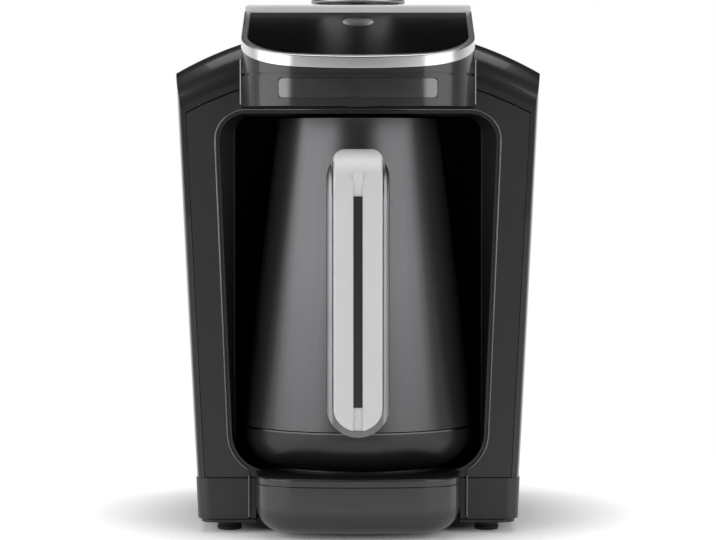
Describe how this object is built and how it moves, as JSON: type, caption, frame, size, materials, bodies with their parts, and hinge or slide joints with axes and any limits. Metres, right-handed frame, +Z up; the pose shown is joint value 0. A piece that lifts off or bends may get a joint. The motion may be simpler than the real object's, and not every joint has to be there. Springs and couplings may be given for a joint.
{
  "type": "electric turkish coffee maker",
  "caption": "Countertop coffee maker: arched casing with a niche, a heated platform, a conical pot with an upright handle that slides out, and a sloped panel with a knob.",
  "frame": {"origin": "bottom centre of the machine with its pot in place, on the surface it stands on", "axes": "+Z up, -Y towards the user, +X to the user's right"},
  "size_m": [0.154, 0.205, 0.2374],
  "materials": {
    "anthracite_shell": "fine satin",
    "gloss_shell": "gloss",
    "niche_black": "matte",
    "satin_black": "satin",
    "piano_black": "high gloss",
    "lens_smoke": "gloss",
    "chrome": "polished",
    "silver_paint": "satin",
    "pot_steel": "brushed, dark coated",
    "hot_aluminium": "dark coated",
    "frame_metal": "satin",
    "dark_metal": "satin, dark",
    "steel": "plain",
    "silicone": "matte",
    "foot_rubber": "matte",
    "board_green": "matte",
    "part_black": "matte",
    "part_cream": "matte",
    "lead_red": "matte",
    "lens_clear": "clear"
  },
  "bodies": {
    "casing": {"badge_plate": "dark_metal", "base_shell": "anthracite_shell", "board_frame": "part_black", "bottom_cover": "satin_black", "burner_can": "steel", "capacitor": "part_black", "casing_shell": "gloss_shell", "control_board": "board_green", "control_panel": "piano_black", "cord_gland": "foot_rubber", "element_lead_left": "lead_red", "element_lead_right": "lead_red", "encoder_housing": "part_black", "foot_back_left": "foot_rubber", "foot_back_right": "foot_rubber", "foot_front_left": "foot_rubber", "foot_front_right": "foot_rubber", "front_plate": "anthracite_shell", "head_shell": "gloss_shell", "head_trim_left": "frame_metal", "head_trim_right": "frame_metal", "heat_shield": "steel", "heat_sink": "hot_aluminium", "heating_element": "steel", "hot_plate": "hot_aluminium", "key_lens": "lens_smoke", "knob_collar": "satin_black", "niche_liner": "niche_black", "panel_ring": "chrome", "pedestal_shell": "gloss_shell", "plate_seal": "silicone", "platform": "gloss_shell", "power_board": "board_green", "probe_guide": "steel", "probe_spring": "steel", "rear_cover": "anthracite_shell", "rear_deck": "silver_paint", "rear_screw_high_left": "steel", "rear_screw_high_right": "steel", "rear_screw_low_left": "steel", "rear_screw_low_right": "steel", "relay": "part_black", "sensor_board": "board_green", "sensor_lens": "lens_clear", "sounder": "part_black", "terminal_block": "part_cream", "thermal_fuse": "steel", "thermostat": "part_cream", "transformer": "part_cream"},
    "pot": {"pot_body": "pot_steel", "pot_base": "satin_black", "pot_seam_ring": "dark_metal", "handle_bracket": "pot_steel", "handle_core": "frame_metal", "handle_inlay": "silver_paint", "handle_strip": "satin_black"},
    "probe": {"probe": "steel"},
    "knob_carrier": {"encoder_plunger": "part_cream"},
    "knob": {"selector_knob": "chrome", "knob_shaft": "steel"}
  },
  "joints": [
    {"name": "pot_slide", "type": "slide", "parent": "casing", "child": "pot", "axis": [0, -1, 0], "range_m": [0, 0.125]},
    {"name": "probe_press", "type": "slide", "parent": "casing", "child": "probe", "axis": [0, 0, -1], "range_m": [0, 0.002], "stiffness_N_per_m": 150, "springref_m": -0.002, "deforming": ["probe_spring"]},
    {"name": "knob_press", "type": "slide", "parent": "casing", "child": "knob_carrier", "axis": [0, 0, -1], "range_m": [0, 0.0012], "stiffness_N_per_m": 1500, "springref_m": -0.0015},
    {"name": "knob_turn", "type": "hinge", "parent": "knob_carrier", "child": "knob", "pos_m": [0, 0.0066, 0.2254], "axis": [0, 0, -1], "range_deg": [-135, 135]}
  ]
}
